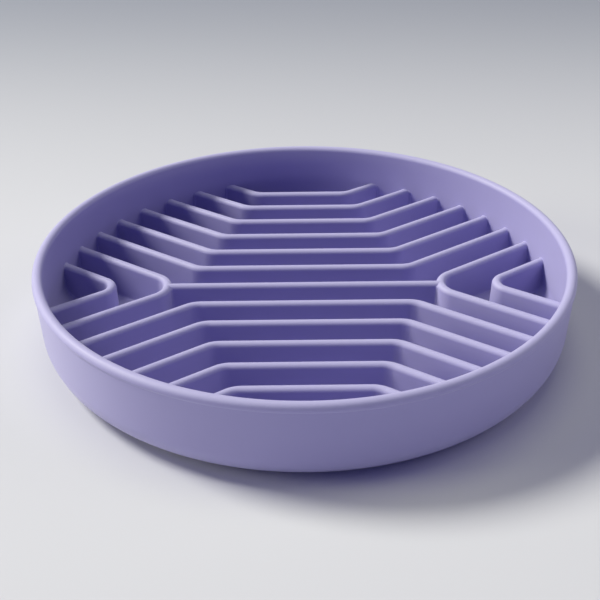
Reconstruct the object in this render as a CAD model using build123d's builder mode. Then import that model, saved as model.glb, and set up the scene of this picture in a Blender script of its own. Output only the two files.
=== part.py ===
from build123d import *
import os
from math import acos, cos, radians, sin, tan

# Slow feeder bowl: a round moulded dish whose floor carries a maze of upright ribs, on rubber foot pads.
# Millimetres, +Z up. The origin is on the surface that the bowl stands on, under the middle of the bowl.

# The dish
bowl_diameter = 220.0  # across the lip
bowl_height = 36.0  # from the ground to the top of the lip
lip_thickness = 4.3  # the lip is a full round of this width
lip_overhang = 0.4  # how far the lip stands proud of the outer wall
outer_draft = 3.0  # degrees, outer wall from upright
inner_draft = 1.0  # degrees, inner wall from upright
heel_radius = 12.7  # where the outer wall turns under to the base
floor_thickness = 2.6
floor_corner_radius = 8.0  # where the inner wall runs into the floor

# The foot pads
pad_count = 6
pad_diameter = 16.0
pad_thickness = 1.6
pad_stand = 0.6  # how far a pad stands out below the base
pad_clearance = 0.1  # round the pad in its recess
pad_bevel = 0.4  # round a pad's edge on the ground
pad_inset = 20.7  # from the heel's start to the pads' middles

# The ribs
row_count = 6  # chevrons on each side of the middle
end_space = 15.45  # from the last chevron's middle to the wall, at the height of the crests
rib_thickness = 4.0  # the crest is a full round of this width
rib_height = 16.0  # crest above the floor
rib_draft = 2.0  # degrees, each side from upright
rib_turn = 35.0  # degrees between a rib's middle and its legs
fork_share = 0.474  # of the inner radius: how far out a fork's legs would cross
bend_radius = 10.0  # middle line of a chevron's bends
fork_radius = 10.0  # middle line of a fork's bend
pocket_radius = 6.5  # middle line of a pocket rib's bend
tongue_share = 0.25  # of the rib thickness: how far the bar stops short of the fork's middle line

# Heights and radii that follow from the sizes above
base_z = pad_stand
floor_z = base_z + floor_thickness
crest_z = floor_z + rib_height
lip_radius = lip_thickness / 2
lip_z = bowl_height - lip_radius
rim_radius = bowl_diameter / 2
lip_middle_radius = rim_radius - lip_radius

# The outer wall starts under the lip and runs down and inwards
undercut = acos((lip_radius - lip_overhang) / lip_radius)
wall_top = (rim_radius - lip_overhang, lip_z - lip_radius * sin(undercut))
wall_foot = (wall_top[0] - (wall_top[1] - base_z) * tan(radians(outer_draft)), base_z)
heel_start = wall_foot[0] - heel_radius * tan(radians(90 - outer_draft) / 2)
pad_middle_radius = heel_start - pad_inset

# The inner wall leaves the lip as a tangent and runs down to the floor
inner_top = (
    lip_middle_radius - lip_radius * cos(radians(inner_draft)),
    lip_z + lip_radius * sin(radians(inner_draft)),
)
inner_foot = (inner_top[0] - (inner_top[1] - floor_z) * tan(radians(inner_draft)), floor_z)
inner_radius_at_crest = inner_top[0] - (inner_top[1] - crest_z) * tan(radians(inner_draft))

# The pattern of the ribs: one pitch all over, and each chevron's middle shorter than the last
rib_pitch = (inner_radius_at_crest - end_space) / row_count
row_step = rib_pitch * tan(radians(rib_turn / 2))
fork_reach = fork_share * inner_radius_at_crest
pocket_reach = fork_reach + rib_pitch / sin(radians(rib_turn))

# The rib's section: a full-round crest whose sides run on down as tangents
crest_radius = rib_thickness / 2
shoulder = crest_radius * cos(radians(rib_draft))
shoulder_height = rib_height - crest_radius + crest_radius * sin(radians(rib_draft))
root = shoulder + shoulder_height * tan(radians(rib_draft))

os.makedirs("parts", exist_ok=True)


def save(piece, name):
    """Label one finished piece and write it as its own file."""
    piece.part.label = name
    export_step(piece.part, f"parts/{name}.step")


# The space inside the dish, which the ribs are trimmed to
with BuildPart() as hollow:
    with BuildSketch(Plane.XZ) as hollow_profile:
        with BuildLine():
            Polyline((0, floor_z), inner_foot, inner_top, (0, inner_top[1]), close=True)
        make_face()
        fillet(hollow_profile.vertices().group_by(Axis.Y)[0].sort_by(Axis.X)[-1], floor_corner_radius)
    revolve(axis=Axis.Z)

# The dish: one revolved wall and floor, with a recess for each foot pad in its base
with BuildPart() as dish:
    with BuildSketch(Plane.XZ) as dish_profile:
        with BuildLine():
            Polyline((0, base_z), wall_foot, wall_top)
            ThreePointArc(wall_top, (lip_middle_radius, bowl_height), inner_top)
            Polyline(inner_top, inner_foot, (0, floor_z), (0, base_z))
        make_face()
        fillet(dish_profile.vertices().group_by(Axis.Y)[1].sort_by(Axis.X)[-1], floor_corner_radius)
        fillet(dish_profile.vertices().group_by(Axis.Y)[0].sort_by(Axis.X)[-1], heel_radius)
    revolve(axis=Axis.Z)
    with BuildSketch(Plane.XY.offset(base_z)):
        with PolarLocations(pad_middle_radius, pad_count):
            Circle(pad_diameter / 2 + pad_clearance)
    extrude(amount=pad_thickness - pad_stand, mode=Mode.SUBTRACT)
save(dish, "dish")


def make_foot_pad(index):
    """One round pad, seated in its recess, with a bevelled edge on the ground."""
    turn = radians(360 / pad_count * index)
    centre = (pad_middle_radius * cos(turn), pad_middle_radius * sin(turn), 0)
    with BuildPart() as pad:
        with BuildSketch(Plane(origin=centre)):
            Circle(pad_diameter / 2)
        extrude(amount=pad_thickness)
        chamfer(pad.edges().sort_by(Axis.Z)[0], pad_bevel)
    save(pad, f"foot_pad_{index + 1}")


def bent_route(corners, radius):
    """A line on the floor through the given corners, with each corner rounded."""
    with BuildLine(Plane.XY.offset(floor_z)) as route:
        FilletPolyline(*corners, radius=radius)
    return route.wire()


def make_rib(route, trims=()):
    """A rib of one section along a line on the floor, trimmed to the dish and to its neighbours."""
    along = route % 0
    with BuildPart() as rib:
        with BuildSketch(Plane(route @ 0, x_dir=Vector(0, 0, 1).cross(along), z_dir=along)):
            with BuildLine():
                ThreePointArc((-shoulder, shoulder_height), (0, rib_height), (shoulder, shoulder_height))
                Polyline((shoulder, shoulder_height), (root, 0), (-root, 0), (-shoulder, shoulder_height))
            make_face()
        sweep(path=route)
        add(hollow.part, mode=Mode.INTERSECT)
        for trim in trims:
            add(trim, mode=Mode.SUBTRACT)
    return rib


def leg_end(corner, side_x, side_y):
    """A point well past the wall, along a leg that leaves a corner at the rib's turn."""
    turn = radians(rib_turn)
    return (corner[0] + side_x * rim_radius * cos(turn), corner[1] + side_y * rim_radius * sin(turn))


def make_chevron(row, side_y):
    """A rib with a straight middle and two legs that bend away from the middle of the bowl."""
    half_length = fork_reach - row * row_step
    left = (-half_length, side_y * row * rib_pitch)
    right = (half_length, side_y * row * rib_pitch)
    corners = [leg_end(left, -1, side_y), left, right, leg_end(right, 1, side_y)]
    return make_rib(bent_route(corners, bend_radius))


def make_vee(reach, side_x, radius):
    """A rib bent into a V that points at the middle of the bowl."""
    apex = (side_x * reach, 0)
    corners = [leg_end(apex, side_x, 1), apex, leg_end(apex, side_x, -1)]
    return make_rib(bent_route(corners, radius))


for pad_index in range(pad_count):
    make_foot_pad(pad_index)

for side_name, side in (("rear", 1), ("front", -1)):
    for row_index in range(1, row_count + 1):
        save(make_chevron(row_index, side), f"{side_name}_rib_{row_index}")

forks = []
for side_name, side in (("left", -1), ("right", 1)):
    fork = make_vee(fork_reach, side, fork_radius)
    forks.append(fork.part)
    save(fork, f"{side_name}_fork")
    save(make_vee(pocket_reach, side, pocket_radius), f"{side_name}_pocket_rib")

# The bar runs from fork to fork and lies against the round of both
fork_middle = fork_reach + fork_radius / sin(radians(rib_turn)) - fork_radius
bar_end = fork_middle - rib_thickness * tongue_share
with BuildLine(Plane.XY.offset(floor_z)) as bar_route:
    Line((-bar_end, 0), (bar_end, 0))
save(make_rib(bar_route.wire(), forks), "centre_bar")
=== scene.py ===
from math import cos, pi, radians, sin, tan

import bpy
import numpy as np
from bpy.props import FloatProperty, FloatVectorProperty, IntProperty, PointerProperty
from mathutils import Matrix


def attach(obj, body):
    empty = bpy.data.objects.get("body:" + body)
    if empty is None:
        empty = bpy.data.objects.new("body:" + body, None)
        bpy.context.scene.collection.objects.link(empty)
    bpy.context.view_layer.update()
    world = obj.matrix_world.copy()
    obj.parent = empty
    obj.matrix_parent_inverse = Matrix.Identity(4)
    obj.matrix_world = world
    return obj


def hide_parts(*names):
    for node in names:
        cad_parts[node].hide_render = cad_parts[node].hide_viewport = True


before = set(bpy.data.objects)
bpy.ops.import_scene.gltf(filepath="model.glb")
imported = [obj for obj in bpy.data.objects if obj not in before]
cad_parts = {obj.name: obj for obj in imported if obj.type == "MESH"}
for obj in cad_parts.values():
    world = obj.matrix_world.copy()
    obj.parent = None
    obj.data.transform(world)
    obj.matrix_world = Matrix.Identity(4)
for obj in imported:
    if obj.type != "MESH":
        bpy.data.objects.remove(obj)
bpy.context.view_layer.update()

bl_info = {
    "name": "Slow Feeder Bowl",
    "version": (1, 0, 0),
    "blender": (4, 5, 0),
    "location": "3D View > Sidebar > Bowl",
    "description": "Builds a moulded slow feeder bowl with its ribs, its foot pads and a small studio",
    "category": "Object",
}

# Points along each part of the dish's section, from its base to the middle of its floor
BASE_POINTS = 5
HEEL_POINTS = 28
WALL_POINTS = 6
CREASE_POINTS = 9
LIP_POINTS = 44
CORNER_POINTS = 22
FLOOR_POINTS = 24
WALL_SPAN = (0.012, 0.0006)  # how far below the crease the wall's points start and end

# The base round the pads' recesses
INNER_BASE_POINTS = 12  # from the bowl's axis to the band of sectors
SECTOR_REACH = 1.6  # half the width of that band, in pad radii
SECTOR_SIDE_POINTS = 13
SECTOR_RINGS = 7  # from a recess's rim to the edge of its sector
RECESS_RINGS = (0, 0.3, 0.6, 0.9, 1)  # across a recess's flat, in shares of its radius

# The ribs
CREST_POINTS = 29
SIDE_POINTS = 7
ROOT_POINTS = 9
BEND_POINTS = 25
LEG_RINGS = (2, 4)  # last rings before the bends, in root rounds from the wall
BAR_END = (0.425, 0.9)  # where the bar's end is finely stepped, in rib widths from the fork's middle line
BAR_END_POINTS = 24
SIDEWAYS = 0.9  # a direction with a larger share across the rib belongs to one of its sides

# The foot pads
PAD_EDGE_POINTS = 9
PAD_SEGMENTS = 72

# All meshes
MERGE_STEP = 1e-7  # points that agree to this step become one
SHARP_ANGLE = radians(40)  # edges that turn by more than this stay sharp

# The moulded materials
# Painted highlight: the share of the pale colour where the attribute "edge" is full
PAINTED_HIGHLIGHT_SHARE = 0.75  # of the pale colour on a full edge, before the grain adds to it

# The studio
FLOOR_SEGMENTS = 180
FILM_WIDTH = 36  # millimetres
NEAR_CLIP = 0.01  # metres


def length(name, description, default):
    """A size in metres that a user may change."""
    return FloatProperty(name=name, description=description, default=default, precision=5, unit="LENGTH")


def angle(name, description, degrees):
    """An angle that a user may change, given in degrees."""
    return FloatProperty(name=name, description=description, default=radians(degrees), unit="ROTATION")


def colour(name, description, default):
    """A linear colour that a user may change."""
    return FloatVectorProperty(
        name=name, description=description, default=default, size=3, min=0, max=1, subtype="COLOR")


def place(name, description, default):
    """A point in metres that a user may change."""
    return FloatVectorProperty(
        name=name, description=description, default=default, size=3, precision=4, subtype="XYZ")


def power(name, description, default):
    """A lamp's power that a user may change."""
    return FloatProperty(name=name, description=description, default=default, min=0, unit="POWER")


class DishSettings(bpy.types.PropertyGroup):
    """Sizes of the dish."""

    rim_radius: length("Rim radius", "From the bowl's axis to the outside of the lip", 0.110)
    height: length("Height", "From the ground to the top of the lip", 0.036)
    lip_radius: length("Lip radius", "Half the width of the full-round lip", 0.00215)
    overhang: length("Overhang", "How far the lip stands proud of the outer wall", 0.0004)
    crease: length("Crease", "Hollow round under the lip", 0.0003)
    outer_draft: angle("Outer draft", "Lean of the outer wall", 3.0)
    inner_draft: angle("Inner draft", "Lean of the inner wall", 1.0)
    heel: length("Heel", "Round from the outer wall to the base", 0.0127)
    corner: length("Corner", "Round from the inner wall to the floor", 0.008)
    base: length("Base", "Height of the base above the ground", 0.0006)
    floor: length("Floor", "Height of the inner floor above the ground", 0.0032)
    segments: IntProperty(name="Segments", description="Steps round the bowl", default=360, min=60, step=6)


class RibSettings(bpy.types.PropertyGroup):
    """Sizes of the ribs and of the pattern that they make."""

    rows: IntProperty(name="Rows", description="Chevrons on each side of the middle", default=6, min=1)
    pitch: length("Pitch", "From one rib to the next, square to the ribs", 0.015)
    thickness: length("Thickness", "Width of the full-round crest", 0.004)
    height: length("Height", "From the floor to the crest", 0.016)
    draft: angle("Draft", "Lean of each side", 2.0)
    turn: angle("Turn", "Between a rib's middle and its legs", 35.0)
    reach: length("Fork reach", "From the axis to where a fork's legs would cross", 0.04998)
    bend: length("Chevron bend", "Radius of a chevron's bends at the middle line", 0.010)
    fork: length("Fork bend", "Radius of a fork's bend at the middle line", 0.010)
    pocket: length("Pocket bend", "Radius of a pocket rib's bend at the middle line", 0.0065)
    root: length("Root round", "Hollow round where a rib meets the floor and the wall", 0.0008)
    sunk: length("Sunk", "How far a rib runs on into the floor and the wall", 0.0006)


class PadSettings(bpy.types.PropertyGroup):
    """Sizes of the foot pads."""

    count: IntProperty(name="Count", description="Pads round the base", default=6, min=3)
    radius: length("Radius", "Half of a pad's width", 0.008)
    thickness: length("Thickness", "From the ground to the pad's seat", 0.0016)
    clearance: length("Clearance", "Round the pad in its recess", 0.0001)
    edge: length("Edge", "Round of the pad's edge on the ground", 0.0004)
    circle: length("Circle", "From the bowl's axis to the pads' middles", 0.07517)


class FinishSettings(bpy.types.PropertyGroup):
    """Colours of the bowl and its pads."""

    lavender: colour("Lavender", "Colour of the moulding", (0.356, 0.330, 0.618))
    lavender_deep: colour(
        "Lavender deep", "Colour of the moulding in its darker clouds", (0.340, 0.314, 0.601))
    # Painted highlight: the pale colour towards the tops of the crests and the lip
    lavender_painted_highlight: colour(
        "Lavender painted highlight", "Colour of the moulding on its rubbed crests and lip", (0.410, 0.388, 0.658))
    pad: colour("Pad", "Colour of the soft pads", (0.10, 0.095, 0.15))
    pad_worn: colour("Pad worn", "Colour of the soft pads where they are scuffed", (0.15, 0.145, 0.20))
    pad_edge: colour("Pad edge", "Colour of the soft pads on the rim of their seat", (0.17, 0.165, 0.22))


class StudioSettings(bpy.types.PropertyGroup):
    """Camera, lamps and floor."""

    camera: place("Camera", "Place of the camera", (-0.003738, -0.388735, 0.240306))
    yaw: angle("Yaw", "Turn of the view to the right of the Y axis", 0.2758)
    pitch: angle("Pitch", "How far the view looks down", 30.5585)
    roll: angle("Roll", "Tilt of the camera about its view", -0.4961)
    lens: FloatProperty(name="Lens", description="Focal length in millimetres, on 36 mm film", default=63.96)
    key: place("Key lamp", "Place of the lamp on the left, a little behind the bowl", (-3.076, 1.243, 3.040))
    key_size: length("Key size", "Width of the key lamp", 1.50)
    key_power: power("Key power", "Power of the key lamp in watts", 237.0)
    key_colour: colour("Key colour", "Colour of the key lamp", (1.0, 0.99, 0.84))
    side: place("Side lamp", "Place of the low lamp on the left", (-4.500, -0.315, 1.642))
    side_size: length("Side size", "Width of the side lamp", 2.0)
    side_power: power("Side power", "Power of the side lamp in watts", 76.0)
    side_colour: colour("Side colour", "Colour of the side lamp", (1.0, 1.0, 0.62))
    back: place("Back lamp", "Place of the wide lamp on the right", (3.860, 0.473, 2.816))
    back_size: length("Back size", "Width of the back lamp", 3.2)
    back_power: power("Back power", "Power of the back lamp in watts", 43.0)
    back_colour: colour("Back colour", "Colour of the back lamp", (1.0, 0.97, 0.82))
    top: place("Top lamp", "Place of the wide lamp above the bowl", (0.3, 0.75, 4.75))
    top_size: length("Top size", "Width of the top lamp", 3.0)
    top_power: power("Top power", "Power of the top lamp in watts", 52.0)
    top_colour: colour("Top colour", "Colour of the top lamp", (0.97, 1.0, 0.56))
    front: place("Front lamp", "Place of the small low lamp in front", (0.6, -4.5, 0.135))
    front_size: length("Front size", "Width of the front lamp", 0.21)
    front_power: power("Front power", "Power of the front lamp in watts", 22.0)
    front_colour: colour("Front colour", "Colour of the front lamp", (0.96, 1.0, 0.60))
    sky: colour("Sky", "Even light from all round", (0.024, 0.022, 0.195))
    backdrop: colour(
        "Backdrop", "Colour of the backdrop, seen directly and in reflections", (0.42, 0.43, 0.47))
    floor_radius: length("Floor radius", "From the bowl's axis to the edge of the floor", 2.4)
    floor_near: colour("Floor near", "Colour of the floor round the bowl", (0.602, 0.606, 0.676))
    # Painted shade: the floor darkens towards this colour far behind the bowl
    floor_far_shade: colour("Floor far shade", "Colour of the floor far behind the bowl", (0.270, 0.285, 0.352))
    floor_turn: angle("Floor turn", "Turn of the floor's change of colour to the left of the Y axis", -1.5)
    floor_depth: length("Floor depth", "How far behind the axis the floor reaches its far colour", 0.60)


class BowlSettings(bpy.types.PropertyGroup):
    """All settings of the bowl."""

    dish: PointerProperty(type=DishSettings)
    ribs: PointerProperty(type=RibSettings)
    pads: PointerProperty(type=PadSettings)
    finish: PointerProperty(type=FinishSettings)
    studio: PointerProperty(type=StudioSettings)


def arc(centre, radius, start, end, steps):
    """Points of a circle about a centre, from one angle to another in even steps."""
    turn = np.linspace(start, end, steps)
    return np.column_stack([centre[0] + radius * np.cos(turn), centre[1] + radius * np.sin(turn)])


def inner_corner(dish):
    """Middle of the round between floor and inner wall: one radius above the floor and inside the wall."""
    lean = dish.inner_draft
    lip = (dish.rim_radius - dish.lip_radius, dish.height - dish.lip_radius)
    top = (lip[0] - dish.lip_radius * cos(lean), lip[1] + dish.lip_radius * sin(lean))
    foot = top[0] - (top[1] - dish.floor) * tan(lean)
    return np.array([foot - dish.corner * tan((pi / 2 - lean) / 2), dish.floor + dish.corner])


def inner_radius(dish, z):
    """Radius of the dish's inside at a height: the leaning wall, or the round from it down to the floor."""
    middle = inner_corner(dish)
    lean = dish.inner_draft
    touch = middle + dish.corner * np.array([cos(lean), -sin(lean)])
    drop = np.clip(middle[1] - np.maximum(z, dish.floor), 0, dish.corner)
    in_round = middle[0] + np.sqrt(dish.corner ** 2 - drop ** 2)
    return np.where(z > touch[1], touch[0] + (z - touch[1]) * tan(lean), in_round)


def inner_distance(dish, r, z):
    """Distance from the dish's inside.

    It is the smaller of those to floor and wall, or what is left of the radius beside their round.
    """
    middle = inner_corner(dish)
    lean = dish.inner_draft
    across, above = r - middle[0], z - middle[1]
    to_wall = dish.corner - (across * cos(lean) - above * sin(lean))
    in_round = (across > 0) & (across * sin(lean) + above * cos(lean) < 0)
    return np.where(in_round, dish.corner - np.hypot(across, above), np.minimum(z - dish.floor, to_wall))


def level_run(start, end, z, points):
    """Points at one height, in even steps from one radius to another."""
    return np.column_stack([np.linspace(start, end, points), np.full(points, z)])


def dish_profile(dish, start):
    """Half section of the dish from a radius on its base to the middle of its floor.

    It runs out round the heel, up the wall, over the lip and down the inside. Each round touches the lines
    beside it.
    """
    lean_out, lean_in = dish.outer_draft, dish.inner_draft
    lip = np.array([dish.rim_radius - dish.lip_radius, dish.height - dish.lip_radius])
    out = np.array([cos(lean_out), -sin(lean_out)])
    up = np.array([sin(lean_out), cos(lean_out)])
    # The wall's line lies one overhang inside the lip, and the crease touches both
    wall = lip + out * (dish.lip_radius - dish.overhang)
    reach = dish.lip_radius - dish.overhang + dish.crease
    crease = lip + out * reach - up * np.sqrt((dish.lip_radius + dish.crease) ** 2 - reach ** 2)
    rise = np.arctan2(lip[1] - crease[1], lip[0] - crease[0])
    # The heel touches the wall's line and the base
    heel_z = dish.base + dish.heel
    heel_r = (wall + up * ((heel_z - wall[1] + out[1] * dish.heel) / up[1]) - out * dish.heel)[0]
    inside = inner_corner(dish)
    return np.vstack([
        level_run(start, heel_r, dish.base, BASE_POINTS)[:-1],
        arc((heel_r, heel_z), dish.heel, -pi / 2, -lean_out, HEEL_POINTS),
        crease - out * dish.crease - up * np.linspace(*WALL_SPAN, WALL_POINTS)[:, None],
        arc(crease, dish.crease, pi - lean_out, rise, CREASE_POINTS),
        arc(lip, dish.lip_radius, rise - pi, pi - lean_in, LIP_POINTS)[1:],
        arc(inside, dish.corner, -lean_in, -pi / 2, CORNER_POINTS),
        level_run(inside[0], 0, dish.floor, FLOOR_POINTS)[1:],
    ])


def spin(profile, segments, middle=(0, 0)):
    """A half section turned about an upright axis: its radius times cosine and sine, and its height."""
    turn = np.linspace(0, 2 * pi, segments + 1)[:, None]
    r, z = profile[None, :, 0], profile[None, :, 1]
    x, y = middle[0] + r * np.cos(turn), middle[1] + r * np.sin(turn)
    return np.stack([x, y, np.broadcast_to(z, x.shape)], axis=-1)


def recessed_sector(dish, pads, turn, inner, outer):
    """One sector of the base with a pad's recess.

    Rays run from the sector's edge in to the rim of the recess, up its side and across its flat.
    """
    half, steps = pi / pads.count, dish.segments // pads.count
    swing = np.linspace(-half, half, steps + 1)
    side = np.linspace(inner, outer, SECTOR_SIDE_POINTS)
    edge = np.vstack([
        np.column_stack([outer * np.cos(swing), outer * np.sin(swing)]),
        np.column_stack([side * cos(half), side * sin(half)])[::-1][1:],
        np.column_stack([inner * np.cos(swing), inner * np.sin(swing)])[::-1][1:],
        np.column_stack([side * cos(half), -side * sin(half)])[1:],
    ])
    ray = edge - [pads.circle, 0]
    reach = np.hypot(ray[:, 0], ray[:, 1])
    hole, ease = pads.radius + pads.clearance, pads.clearance
    rim = np.concatenate([np.array(RECESS_RINGS) * (hole - ease), [hole, hole, hole + ease]])
    flat = np.full(len(RECESS_RINGS), pads.thickness)
    level = np.concatenate([flat, [pads.thickness - ease, dish.base + ease, dish.base]])
    share = np.linspace(0, 1, SECTOR_RINGS + 1)[1:]
    far = rim[-1] + share * (reach[:, None] - rim[-1])
    radius = np.hstack([np.broadcast_to(rim, (len(edge), rim.size)), far])
    height = np.concatenate([level, np.full(share.size, dish.base)])
    x = pads.circle + radius * (ray[:, 0] / reach)[:, None]
    y = radius * (ray[:, 1] / reach)[:, None]
    across, along = x * cos(turn) - y * sin(turn), x * sin(turn) + y * cos(turn)
    return np.stack([across, along, np.broadcast_to(height, x.shape)], axis=-1)


def root_steps(ribs):
    """Distances from 0 to the root round's radius: one less the sine of even turns, closest at first."""
    return ribs.root * (1 - np.sin(np.linspace(pi / 2, 0, ROOT_POINTS)))


def rib_section(dish, ribs):
    """Section of a rib from one foot over the crest to the other: offset, height and outward direction.

    The crest is a half round, its sides lean out as tangents, and the lowest points lie sunk in the floor.
    """
    half, lean = ribs.thickness / 2, ribs.draft
    crest = dish.floor + ribs.height - half
    swing = np.linspace(-pi / 2 + lean, pi / 2 - lean, CREST_POINTS)
    across, up = np.sin(swing), np.cos(swing)
    top = np.column_stack([half * across, crest + half * up, across, up])
    shoulder = top[-1, 1]
    flank = np.linspace(ribs.root, shoulder - dish.floor, SIDE_POINTS)[1:-1]
    z = dish.floor + np.concatenate([[-ribs.sunk], root_steps(ribs), flank])[::-1]
    offset = top[-1, 0] + (shoulder - z) * tan(lean)
    side = np.column_stack([offset, z, np.full(z.size, cos(lean)), np.full(z.size, sin(lean))])
    mirror = side[::-1] * [-1, 1, -1, 1]
    return np.vstack([mirror, top, side])


def hollow_round(distance, radius):
    """How far a surface swells near another that it meets in a hollow round: a quarter circle, then none."""
    left = radius - np.clip(distance, 0, radius)
    return radius - np.sqrt(radius ** 2 - left ** 2)


def bent_line(corners, radius, steps):
    """Points and directions along a line's rounded corners. A round touches both sides of its corner."""
    corners = np.asarray(corners, float)
    legs = np.diff(corners, axis=0)
    legs /= np.linalg.norm(legs, axis=1)[:, None]
    points, ways = [], []
    for corner, before, after in zip(corners[1:-1], legs[:-1], legs[1:]):
        side = np.sign(before[0] * after[1] - before[1] * after[0])
        sweep = np.arccos(np.clip(before @ after, -1, 1))
        inwards = side * np.array([-before[1], before[0]])
        middle = corner - before * radius * tan(sweep / 2) + radius * inwards
        start = np.arctan2(before[1], before[0])
        swing = start + side * np.linspace(0, sweep, steps)
        way = np.column_stack([np.cos(swing), np.sin(swing)])
        points.append(middle + side * radius * np.column_stack([way[:, 1], -way[:, 0]]))
        ways.append(way)
    return np.vstack(points), np.vstack(ways)


def rib_grid(dish, ribs, corners, radius):
    """A rib's section carried along a bent line, its legs run on until each point of it meets the wall.

    A leg's length comes from the quadratic of a straight line and a circle of the wall's radius at a height.
    Near the floor and the wall the section swells by a hollow round.
    """
    section = rib_section(dish, ribs)
    offset, z = section[:, 0], section[:, 1]
    line, way = bent_line(corners, radius, BEND_POINTS)
    rings = ribs.root * np.array(LEG_RINGS)
    back = np.concatenate([[0], ribs.sunk + root_steps(ribs), ribs.sunk + rings])
    wall = inner_radius(dish, z)
    plans, sides = [], []
    for end in (-1, 1):
        index = 0 if end < 0 else -1
        side = np.array([-way[index, 1], way[index, 0]])
        foot = line[index] + offset[:, None] * side
        ahead = foot @ (end * way[index])
        run = -ahead + np.sqrt(ahead ** 2 - (foot ** 2).sum(axis=1) + wall ** 2) + ribs.sunk
        steps = run[None, :] - (back if end < 0 else back[::-1])[:, None]
        plans.append(foot[None] + steps[..., None] * (end * way[index]))
        sides.append(np.broadcast_to(side, plans[-1].shape))
    side = np.column_stack([-way[:, 1], way[:, 0]])
    bends = line[:, None] + offset[None, :, None] * side[:, None]
    plan = np.concatenate([plans[0], bends, plans[1]])
    side = np.concatenate([sides[0], np.broadcast_to(side[:, None], bends.shape), sides[1]])
    swell = hollow_round(inner_distance(dish, np.hypot(plan[..., 0], plan[..., 1]), z), ribs.root)
    plan = plan + side * (swell * section[:, 2])[..., None]
    return np.concatenate([plan, np.broadcast_to(z, swell.shape)[..., None]], axis=-1)


def bar_grid(dish, ribs):
    """The straight rib across the middle: its section carried from fork to fork, swelling where they meet.

    A fork is a circle in plan there, and its half width at each height comes from the same section.
    """
    section = rib_section(dish, ribs)
    offset, z = section[:, 0], section[:, 1]
    bend = ribs.reach + ribs.fork / sin(ribs.turn)
    end = bend - ribs.fork
    near = np.linspace(*BAR_END, BAR_END_POINTS) * ribs.thickness
    x = np.concatenate([[-end], -end + near, end - near[::-1], [end]])[:, None]
    swell = hollow_round(z - dish.floor, ribs.root)
    to_fork = np.abs(np.hypot(bend - np.abs(x), offset) - ribs.fork) - np.abs(offset)
    is_side = np.abs(section[:, 2]) > SIDEWAYS
    swell = np.maximum(swell, hollow_round(to_fork, ribs.root) * is_side)
    y = offset + swell * section[:, 2]
    x = np.broadcast_to(x, y.shape)
    return np.stack([x, y, np.broadcast_to(z, y.shape)], axis=-1)


def grid_faces(grid, first):
    """Four-cornered faces between neighbours of a grid, counted from a first point."""
    rows, columns = grid.shape[:2]
    index = first + np.arange(rows * columns).reshape(rows, columns)
    corners = index[:-1, :-1], index[1:, :-1], index[1:, 1:], index[:-1, 1:]
    return np.stack(corners, axis=-1).reshape(-1, 4)


def tube(grid):
    """A rib's grid closed into a solid: its feet joined underneath, its ends drawn in to their middles."""
    loop = np.concatenate([grid, grid[:, :1]], axis=1)
    ends = [np.broadcast_to(loop[i].mean(axis=0), loop[i].shape)[None] for i in (0, -1)]
    return np.concatenate([ends[0], loop, ends[1]])


def add_piece(name, grids, material, node, edge):
    """One closed object from grids, with its faces turned outwards.

    Points that meet become one. A face that loses a corner by that is a triangle, one that loses two goes.
    The attribute "edge" rises smoothly from 0 at one height to 1 at another, both given in edge: it places a
    painted highlight.
    """
    counts = np.cumsum([0] + [grid.shape[0] * grid.shape[1] for grid in grids])
    points = np.vstack([grid.reshape(-1, 3) for grid in grids])
    faces = np.vstack([grid_faces(grid, first) for grid, first in zip(grids, counts)])
    steps = np.round(points / MERGE_STEP).astype(np.int64)
    _, kept, merged = np.unique(steps, axis=0, return_index=True, return_inverse=True)
    points, faces = points[kept], merged.reshape(-1)[faces]
    same = faces == np.roll(faces, -1, axis=1)
    quads = faces[same.sum(axis=1) == 0]
    lone = same.sum(axis=1) == 1
    corners = faces[lone][~same[lone]].reshape(-1, 3)
    triangles = np.vstack([quads[:, [0, 1, 2]], quads[:, [0, 2, 3]], corners])
    a, b, c = (points[triangles[:, i]] for i in range(3))
    if np.einsum("ij,ij->", a, np.cross(b, c)) < 0:
        quads, corners = quads[:, ::-1], corners[:, ::-1]
    mesh = bpy.data.meshes.new(name)
    mesh.from_pydata(points.tolist(), [], quads.tolist() + corners.tolist())
    rise = np.clip((points[:, 2] - edge[0]) / (edge[1] - edge[0]), 0, 1)
    mesh.attributes.new("edge", "FLOAT", "POINT").data.foreach_set("value", rise ** 2 * (3 - 2 * rise))
    mesh.shade_smooth()
    mesh.set_sharp_from_angle(angle=SHARP_ANGLE)
    mesh.materials.append(material)
    piece = bpy.data.objects.new(name, mesh)
    bpy.context.scene.collection.objects.link(piece)
    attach(piece, "root")
    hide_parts(node)


def add_mix(nodes, **colours):
    """A node that mixes colours A and B by its factor. A colour that isn't given here is linked in."""
    mix = nodes.new("ShaderNodeMix")
    mix.data_type = "RGBA"
    for socket, value in colours.items():
        mix.inputs[socket].default_value = (*value, 1)
    return mix


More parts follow.
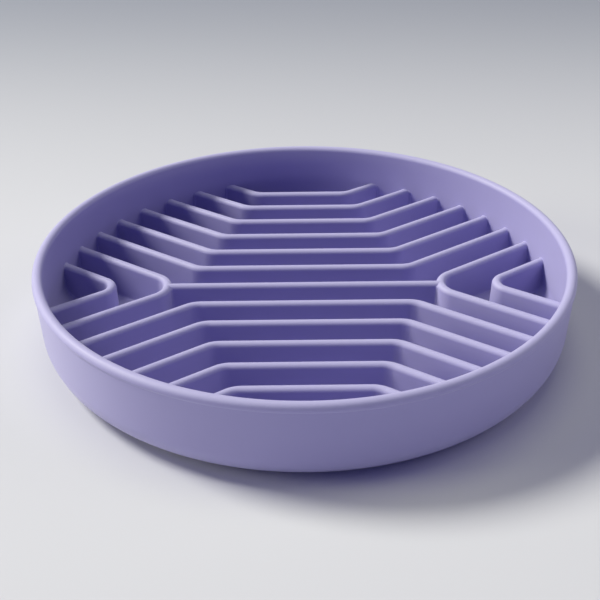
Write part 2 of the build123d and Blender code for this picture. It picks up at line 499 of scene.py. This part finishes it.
def moulded_grain():
    """Node group for moulded surfaces: slow clouds in tone, a fine grain, and a painted highlight where the
    attribute "edge" is high.
    """
    group = bpy.data.node_groups.get("Moulded grain")
    if group:
        return group
    group = bpy.data.node_groups.new("Moulded grain", "ShaderNodeTree")
    for name in ("Cloud scale", "Grain scale"):
        group.interface.new_socket(name, in_out="INPUT", socket_type="NodeSocketFloat")
    for name in ("Cloud", "Grain", "Rubbed"):
        group.interface.new_socket(name, in_out="OUTPUT", socket_type="NodeSocketFloat")
    nodes, links = group.nodes, group.links
    source, result = nodes.new("NodeGroupInput"), nodes.new("NodeGroupOutput")
    point = nodes.new("ShaderNodeTexCoord")
    for name, output, detail in (("Cloud scale", "Cloud", 3.0), ("Grain scale", "Grain", 2.0)):
        noise = nodes.new("ShaderNodeTexNoise")
        noise.inputs["Detail"].default_value = detail
        links.new(point.outputs["Object"], noise.inputs["Vector"])
        links.new(source.outputs[name], noise.inputs["Scale"])
        links.new(noise.outputs["Fac"], result.inputs[output])
    # Painted highlight: a full edge, high on a crest or lip, takes its share of the pale colour, and the
    # grain, the last of the two noises, adds to it
    edge = nodes.new("ShaderNodeAttribute")
    edge.attribute_name = "edge"
    grained, highlit = nodes.new("ShaderNodeMath"), nodes.new("ShaderNodeMath")
    grained.operation = "MULTIPLY"
    highlit.operation = "MULTIPLY_ADD"
    highlit.use_clamp = True
    highlit.inputs[1].default_value = PAINTED_HIGHLIGHT_SHARE
    links.new(edge.outputs["Fac"], grained.inputs[0])
    links.new(noise.outputs["Fac"], grained.inputs[1])
    links.new(edge.outputs["Fac"], highlit.inputs[0])
    links.new(grained.outputs["Value"], highlit.inputs[2])
    links.new(highlit.outputs["Value"], result.inputs["Rubbed"])
    return group


def moulded_material(name, light, deep, pale, roughness, cloud, grain, depth, sheen):
    """A moulded material from two close colours and a pale one.

    Clouds mix the two and vary the roughness, high edges take the pale one as a painted highlight, and the
    grain is a fine bump.
    """
    material = bpy.data.materials.get(name)
    if material:
        return material
    material = bpy.data.materials.new(name)
    material.use_nodes = True
    nodes, links = material.node_tree.nodes, material.node_tree.links
    shader = nodes["Principled BSDF"]
    shader.inputs["Sheen Weight"].default_value = sheen
    shader.inputs["Specular IOR Level"].default_value = 0.25
    surface = nodes.new("ShaderNodeGroup")
    surface.node_tree = moulded_grain()
    surface.inputs["Cloud scale"].default_value = cloud
    surface.inputs["Grain scale"].default_value = grain
    tone = add_mix(nodes, A=deep, B=light)
    edge = add_mix(nodes, B=pale)
    gloss = nodes.new("ShaderNodeMapRange")
    gloss.inputs["To Min"].default_value, gloss.inputs["To Max"].default_value = roughness
    bump = nodes.new("ShaderNodeBump")
    bump.inputs["Strength"].default_value = 0.4
    bump.inputs["Distance"].default_value = depth
    links.new(surface.outputs["Cloud"], tone.inputs["Factor"])
    links.new(tone.outputs["Result"], edge.inputs["A"])
    links.new(surface.outputs["Rubbed"], edge.inputs["Factor"])
    links.new(edge.outputs["Result"], shader.inputs["Base Color"])
    links.new(surface.outputs["Cloud"], gloss.inputs["Value"])
    links.new(gloss.outputs["Result"], shader.inputs["Roughness"])
    links.new(surface.outputs["Grain"], bump.inputs["Height"])
    links.new(bump.outputs["Normal"], shader.inputs["Normal"])
    return material


def moulding(finish):
    """The bowl's own lavender plastic, satin, with clouds a few centimetres wide."""
    colours = finish.lavender, finish.lavender_deep, finish.lavender_painted_highlight
    return moulded_material(
        "Lavender moulding", *colours,
        roughness=(0.45, 0.55), cloud=25, grain=1800, depth=0.00002, sheen=0.2)


def rubber(finish):
    """The pads' soft rubber, dull, with scuffs a few millimetres wide."""
    colours = finish.pad_worn, finish.pad, finish.pad_edge
    return moulded_material(
        "Pad rubber", *colours,
        roughness=(0.70, 0.85), cloud=300, grain=3000, depth=0.00004, sheen=0.1)


def add_rib(bowl, node, grid):
    """One rib from its open grid, with a painted highlight along the round of its crest."""
    crest = bowl.dish.floor + bowl.ribs.height
    # Painted highlight on the upper half of the crest's round
    edge = (crest - bowl.ribs.thickness / 2, crest)
    add_piece(f"moulded_{node}", [tube(grid)], moulding(bowl.finish), node, edge)


def leg_end(bowl, corner, side_x, side_y):
    """A point far along a leg that leaves a corner at the ribs' turn."""
    run, turn = bowl.dish.rim_radius, bowl.ribs.turn
    return (corner[0] + side_x * run * cos(turn), corner[1] + side_y * run * sin(turn))


def vee_grid(bowl, reach, side, radius):
    """A rib bent into a V that points at the middle of the bowl."""
    apex = (side * reach, 0)
    corners = [leg_end(bowl, apex, side, 1), apex, leg_end(bowl, apex, side, -1)]
    return rib_grid(bowl.dish, bowl.ribs, corners, radius)


class BOWL_OT_dish(bpy.types.Operator):
    """Build the round dish with its lip, its floor and the recesses in its base."""

    bl_idname = "bowl.dish"
    bl_label = "Dish"

    def execute(self, context):
        bowl = context.scene.slow_feeder
        dish, pads = bowl.dish, bowl.pads
        reach = SECTOR_REACH * pads.radius
        inner, outer = pads.circle - reach, pads.circle + reach
        base = level_run(0, inner, dish.base, INNER_BASE_POINTS)
        grids = [spin(dish_profile(dish, outer), dish.segments), spin(base, dish.segments)]
        for index in range(pads.count):
            grids.append(recessed_sector(dish, pads, 2 * pi * index / pads.count, inner, outer))
        # Painted highlight on the upper half of the lip
        edge = (dish.height - dish.lip_radius, dish.height)
        add_piece("bowl_dish", grids, moulding(bowl.finish), "dish", edge)
        return {"FINISHED"}


class BOWL_OT_chevrons(bpy.types.Operator):
    """Build the bent ribs behind and in front of the middle."""

    bl_idname = "bowl.chevrons"
    bl_label = "Chevron ribs"

    def execute(self, context):
        bowl = context.scene.slow_feeder
        ribs = bowl.ribs
        for side_name, side in (("rear", 1), ("front", -1)):
            for row in range(1, ribs.rows + 1):
                half = ribs.reach - row * ribs.pitch * tan(ribs.turn / 2)
                left, right = (-half, side * row * ribs.pitch), (half, side * row * ribs.pitch)
                corners = [leg_end(bowl, left, -1, side), left, right, leg_end(bowl, right, 1, side)]
                add_rib(bowl, f"{side_name}_rib_{row}", rib_grid(bowl.dish, ribs, corners, ribs.bend))
        return {"FINISHED"}


class BOWL_OT_vees(bpy.types.Operator):
    """Build the forks and the pocket ribs at both sides."""

    bl_idname = "bowl.vees"
    bl_label = "Forks and pocket ribs"

    def execute(self, context):
        bowl = context.scene.slow_feeder
        ribs = bowl.ribs
        pocket_reach = ribs.reach + ribs.pitch / sin(ribs.turn)
        kinds = (("fork", ribs.reach, ribs.fork), ("pocket_rib", pocket_reach, ribs.pocket))
        for side_name, side in (("left", -1), ("right", 1)):
            for kind, reach, radius in kinds:
                add_rib(bowl, f"{side_name}_{kind}", vee_grid(bowl, reach, side, radius))
        return {"FINISHED"}


class BOWL_OT_bar(bpy.types.Operator):
    """Build the straight rib across the middle."""

    bl_idname = "bowl.bar"
    bl_label = "Centre bar"

    def execute(self, context):
        bowl = context.scene.slow_feeder
        add_rib(bowl, "centre_bar", bar_grid(bowl.dish, bowl.ribs))
        return {"FINISHED"}


class BOWL_OT_pads(bpy.types.Operator):
    """Build the soft pads in the base."""

    bl_idname = "bowl.pads"
    bl_label = "Foot pads"

    def execute(self, context):
        bowl = context.scene.slow_feeder
        pads = bowl.pads
        rounded = arc((pads.radius - pads.edge, pads.edge), pads.edge, -pi / 2, 0, PAD_EDGE_POINTS)
        top = np.array([[pads.radius, pads.thickness], [0, pads.thickness]])
        profile = np.vstack([[0, 0], rounded, top])
        for index in range(pads.count):
            turn = 2 * pi * index / pads.count
            grid = spin(profile, PAD_SEGMENTS, (pads.circle * cos(turn), pads.circle * sin(turn)))
            node, edge = f"foot_pad_{index + 1}", (0, pads.thickness)
            add_piece(f"soft_{node}", [grid], rubber(bowl.finish), node, edge)
        return {"FINISHED"}


class BOWL_OT_studio(bpy.types.Operator):
    """Build the floor, the light and the camera."""

    bl_idname = "bowl.studio"
    bl_label = "Studio"

    def execute(self, context):
        scene = context.scene
        studio = scene.slow_feeder.studio
        self.add_floor(scene, studio)
        self.add_light(scene, studio)
        self.add_camera(scene, studio)
        scene.view_settings.view_transform = "Standard"
        return {"FINISHED"}

    def add_floor(self, scene, studio):
        """A wide level disc, pale round the bowl and darkened far behind it by a painted shade."""
        mesh = bpy.data.meshes.new("studio_floor")
        turn = np.linspace(0, 2 * pi, FLOOR_SEGMENTS, endpoint=False)
        rim = studio.floor_radius * np.column_stack([np.cos(turn), np.sin(turn), np.zeros(turn.size)])
        mesh.from_pydata(rim.tolist(), [], [list(range(turn.size))])
        floor = bpy.data.objects.new("studio_floor", mesh)
        scene.collection.objects.link(floor)
        material = bpy.data.materials.new("Studio floor")
        material.use_nodes = True
        nodes, links = material.node_tree.nodes, material.node_tree.links
        shader = nodes["Principled BSDF"]
        shader.inputs["Specular IOR Level"].default_value = 0
        point, parts = nodes.new("ShaderNodeTexCoord"), nodes.new("ShaderNodeSeparateXYZ")
        turned = nodes.new("ShaderNodeMapping")
        turned.inputs["Rotation"].default_value[2] = -studio.floor_turn
        depth = nodes.new("ShaderNodeMapRange")
        depth.interpolation_type = "SMOOTHSTEP"
        depth.inputs["From Max"].default_value = studio.floor_depth
        # Painted shade: darker far behind the bowl
        tone = add_mix(nodes, A=studio.floor_near, B=studio.floor_far_shade)
        links.new(point.outputs["Object"], turned.inputs["Vector"])
        links.new(turned.outputs["Vector"], parts.inputs["Vector"])
        links.new(parts.outputs["Y"], depth.inputs["Value"])
        links.new(depth.outputs["Result"], tone.inputs["Factor"])
        links.new(tone.outputs["Result"], shader.inputs["Base Color"])
        mesh.materials.append(material)

    def add_light(self, scene, studio):
        """Five round soft lamps that face the bowl, and an even sky with a pale backdrop.

        The backdrop is seen by views and by mirrored or passing light, and lights nothing else.
        """
        for name in ("key", "side", "back", "top", "front"):
            lamp = bpy.data.lights.new(f"{name.capitalize()} lamp", "AREA")
            lamp.shape = "DISK"
            lamp.size = getattr(studio, f"{name}_size")
            lamp.energy = getattr(studio, f"{name}_power")
            lamp.color = getattr(studio, f"{name}_colour")
            holder = bpy.data.objects.new(lamp.name, lamp)
            holder.location = getattr(studio, name)
            holder.rotation_euler = (-holder.location).to_track_quat("-Z", "Y").to_euler()
            holder.visible_camera = False
            scene.collection.objects.link(holder)
        world = bpy.data.worlds.new("Studio sky")
        world.use_nodes = True
        nodes, links = world.node_tree.nodes, world.node_tree.links
        path = nodes.new("ShaderNodeLightPath")
        tone = add_mix(nodes, A=studio.sky, B=studio.backdrop)
        seen = [nodes.new("ShaderNodeMath") for _ in range(2)]
        for step in seen:
            step.operation = "MAXIMUM"
        links.new(path.outputs["Is Camera Ray"], seen[0].inputs[0])
        links.new(path.outputs["Is Glossy Ray"], seen[0].inputs[1])
        links.new(seen[0].outputs["Value"], seen[1].inputs[0])
        links.new(path.outputs["Is Transmission Ray"], seen[1].inputs[1])
        links.new(seen[1].outputs["Value"], tone.inputs["Factor"])
        links.new(tone.outputs["Result"], nodes["Background"].inputs["Color"])
        scene.world = world

    def add_camera(self, scene, studio):
        """A camera whose axes come from yaw, pitch and roll."""
        yaw, pitch, roll = studio.yaw, studio.pitch, studio.roll
        ahead = np.array([sin(yaw) * cos(pitch), cos(yaw) * cos(pitch), -sin(pitch)])
        right = np.array([cos(yaw), -sin(yaw), 0])
        up = np.cross(right, ahead)
        right, up = cos(roll) * right + sin(roll) * up, cos(roll) * up - sin(roll) * right
        view = bpy.data.cameras.new("Photo camera")
        view.lens, view.sensor_width, view.clip_start = studio.lens, FILM_WIDTH, NEAR_CLIP
        camera = bpy.data.objects.new("Photo camera", view)
        axes = np.column_stack([right, up, -ahead])
        camera.matrix_world = Matrix.Translation(studio.camera) @ Matrix(axes.tolist()).to_4x4()
        scene.collection.objects.link(camera)
        scene.camera = camera


class BOWL_PT_sidebar(bpy.types.Panel):
    """Lists the bowl's pieces and their settings."""

    bl_idname = "BOWL_PT_sidebar"
    bl_label = "Slow feeder bowl"
    bl_space_type = "VIEW_3D"
    bl_region_type = "UI"
    bl_category = "Bowl"

    def draw(self, context):
        bowl = context.scene.slow_feeder
        for operator in OPERATORS:
            self.layout.operator(operator.bl_idname)
        for group in (bowl.dish, bowl.ribs, bowl.pads, bowl.finish, bowl.studio):
            box = self.layout.box()
            for name in group.__annotations__:
                box.prop(group, name)


SETTINGS = (DishSettings, RibSettings, PadSettings, FinishSettings, StudioSettings, BowlSettings)
OPERATORS = (BOWL_OT_dish, BOWL_OT_chevrons, BOWL_OT_vees, BOWL_OT_bar, BOWL_OT_pads, BOWL_OT_studio)
CLASSES = (*SETTINGS, *OPERATORS, BOWL_PT_sidebar)


def register():
    """Add the classes and the bowl's settings."""
    for item in CLASSES:
        bpy.utils.register_class(item)
    bpy.types.Scene.slow_feeder = PointerProperty(type=BowlSettings)


def unregister():
    """Take the classes and the bowl's settings away again."""
    del bpy.types.Scene.slow_feeder
    for item in reversed(CLASSES):
        bpy.utils.unregister_class(item)


def main():
    register()
    bpy.ops.bowl.dish()
    bpy.ops.bowl.chevrons()
    bpy.ops.bowl.vees()
    bpy.ops.bowl.bar()
    bpy.ops.bowl.pads()
    bpy.ops.bowl.studio()


if __name__ == "__main__":
    main()
